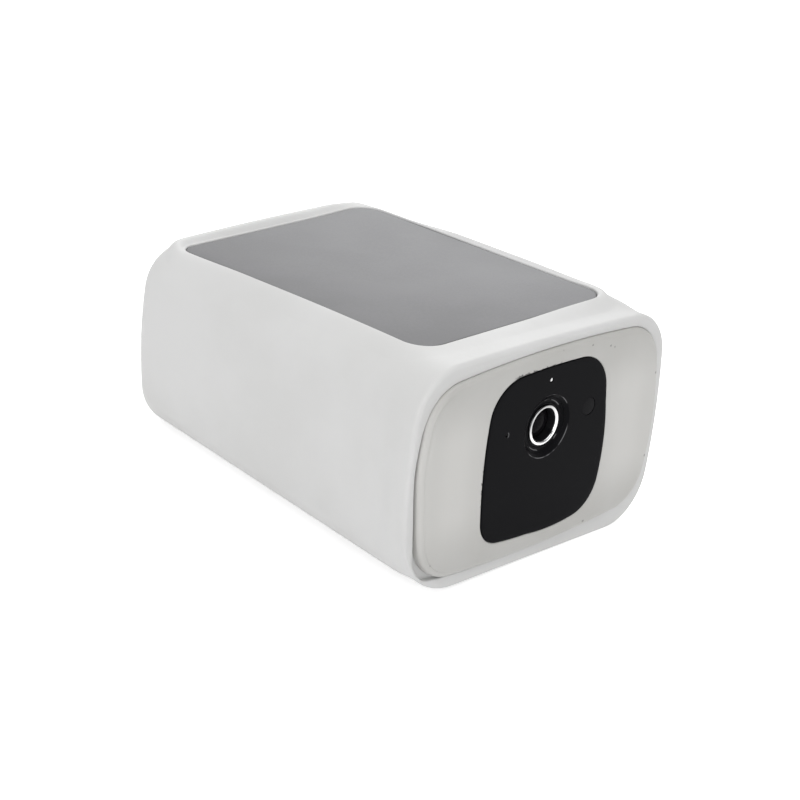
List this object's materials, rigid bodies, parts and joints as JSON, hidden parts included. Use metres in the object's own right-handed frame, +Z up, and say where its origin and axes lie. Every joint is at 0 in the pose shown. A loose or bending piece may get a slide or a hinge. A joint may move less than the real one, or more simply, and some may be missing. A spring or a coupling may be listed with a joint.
{
  "type": "silicone camera case",
  "caption": "Soft moulded sleeve stretched over a box-shaped battery camera, open at the front for the lens plate and on top for a solar panel.",
  "frame": {"origin": "centre of the footprint, on the surface that the case's flat underside rests on", "axes": "+Z up, -Y out of the lens, +X to the right for someone facing the lens"},
  "size_m": [0.0957, 0.1155, 0.0616],
  "materials": {
    "silicone": "soft satin white",
    "shell": "fine matte white",
    "diffuser": "frosted warm grey",
    "foam": "matte black foam",
    "panel": "polished black",
    "trim": "polished bright",
    "barrel": "black anodised",
    "lens_glass": "coated glass",
    "light_pipe": "milky clear",
    "dark_window": "polished smoke",
    "metal_can": "tin plated",
    "chassis": "matte dark grey",
    "screw": "zinc plated",
    "board": "green solder mask",
    "led": "phosphor yellow",
    "chip": "black epoxy",
    "solar": "matte grey laminate",
    "cell": "blue heat shrink sleeve",
    "speaker": "satin black",
    "insert": "turned",
    "flap": "matte white rubber",
    "button": "satin light grey"
  },
  "bodies": {
    "camera": {"silicone_case": "silicone", "housing_shell": "shell", "front_diffuser": "diffuser", "front_gasket": "foam", "lens_panel": "panel", "lens_trim_ring": "trim", "lens_barrel": "barrel", "lens_front_glass": "lens_glass", "lens_rear_glass": "lens_glass", "status_light_pipe": "light_pipe", "light_sensor_window": "dark_window", "microphone": "metal_can", "front_frame": "chassis", "frame_screws": "screw", "spotlight_board_left": "board", "spotlight_board_right": "board", "spotlight_leds": "led", "motion_sensor": "metal_can", "camera_board": "board", "camera_board_screws": "screw", "image_sensor": "chip", "lens_holder": "chassis", "solar_panel": "solar", "solar_adhesive": "foam", "battery_cells": "cell", "battery_tray": "chassis", "main_board": "board", "main_board_screws": "screw", "processor_shield": "metal_can", "wifi_antenna": "board", "speaker": "speaker", "mount_insert": "insert", "rear_board": "board", "rear_board_screws": "screw", "charging_socket": "metal_can", "button_switch": "chip"},
    "port_cover": {"port_cover": "flap"},
    "sync_button": {"sync_button": "button"}
  },
  "joints": [
    {"name": "port_cover_hinge", "type": "hinge", "parent": "camera", "child": "port_cover", "pos_m": [0.0128, 0.05409, 0.02355], "axis": [0, 0.1045, 0.9945], "range_deg": [0, 110]},
    {"name": "sync_button_press", "type": "slide", "parent": "camera", "child": "sync_button", "axis": [0, -0.9945, 0.1045], "range_m": [0, 0.0008], "stiffness_N_per_m": 800}
  ]
}
